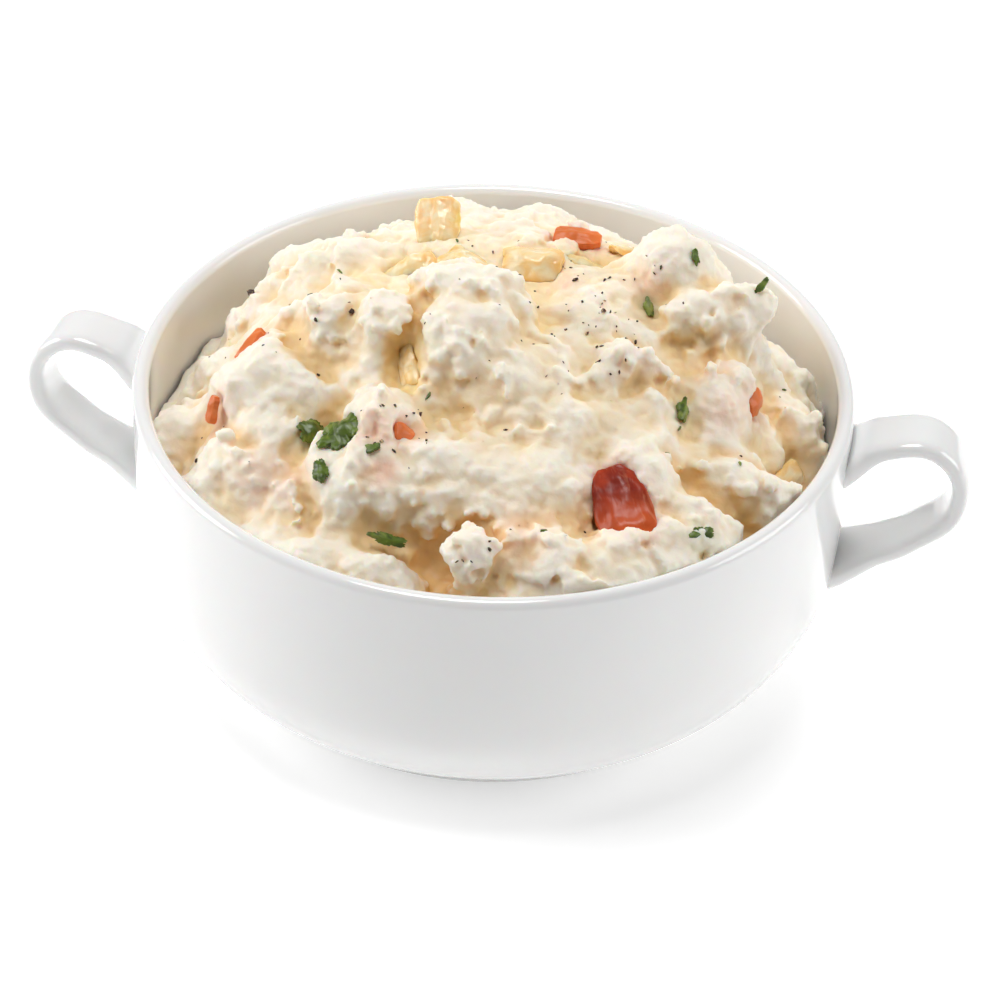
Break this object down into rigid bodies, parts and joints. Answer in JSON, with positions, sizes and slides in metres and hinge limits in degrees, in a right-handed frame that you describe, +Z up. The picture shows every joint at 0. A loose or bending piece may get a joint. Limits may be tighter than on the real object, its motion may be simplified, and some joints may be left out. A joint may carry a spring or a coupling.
{
  "type": "mashed potato side in a two-handled soup cup",
  "caption": "Side dish of mashed potato heaped in a round white porcelain cup with two strap handles, with soft golden onion, bacon bits and chopped parsley on the heap",
  "frame": {"origin": "on the table, under the middle of the cup's foot ring", "axes": "+Z up, the two handles along X, the served side towards -Y"},
  "size_m": [0.161, 0.1208, 0.0741],
  "materials": {
    "porcelain": "white glazed porcelain, smooth and glossy",
    "potato": "moist cream coloured mash, soft satin, translucent at thin edges",
    "onion": "fried onion, golden and translucent, wet gloss",
    "bacon": "cured pork, deep red and translucent with pale fat, wet gloss",
    "parsley": "chopped fresh leaf, green with pale veins, slight gloss"
  },
  "bodies": {
    "root": {"bowl": "porcelain", "mash": "potato", "onion_1": "onion", "onion_2": "onion", "onion_3": "onion", "onion_4": "onion", "onion_5": "onion", "onion_6": "onion", "onion_7": "onion", "onion_8": "onion", "bacon_1": "bacon", "bacon_2": "bacon", "bacon_3": "bacon", "bacon_4": "bacon", "bacon_5": "bacon", "bacon_6": "bacon", "parsley_1": "parsley", "parsley_2": "parsley", "parsley_3": "parsley", "parsley_4": "parsley", "parsley_5": "parsley", "parsley_6": "parsley", "parsley_7": "parsley", "parsley_8": "parsley", "parsley_9": "parsley", "parsley_10": "parsley"}
  },
  "joints": []
}
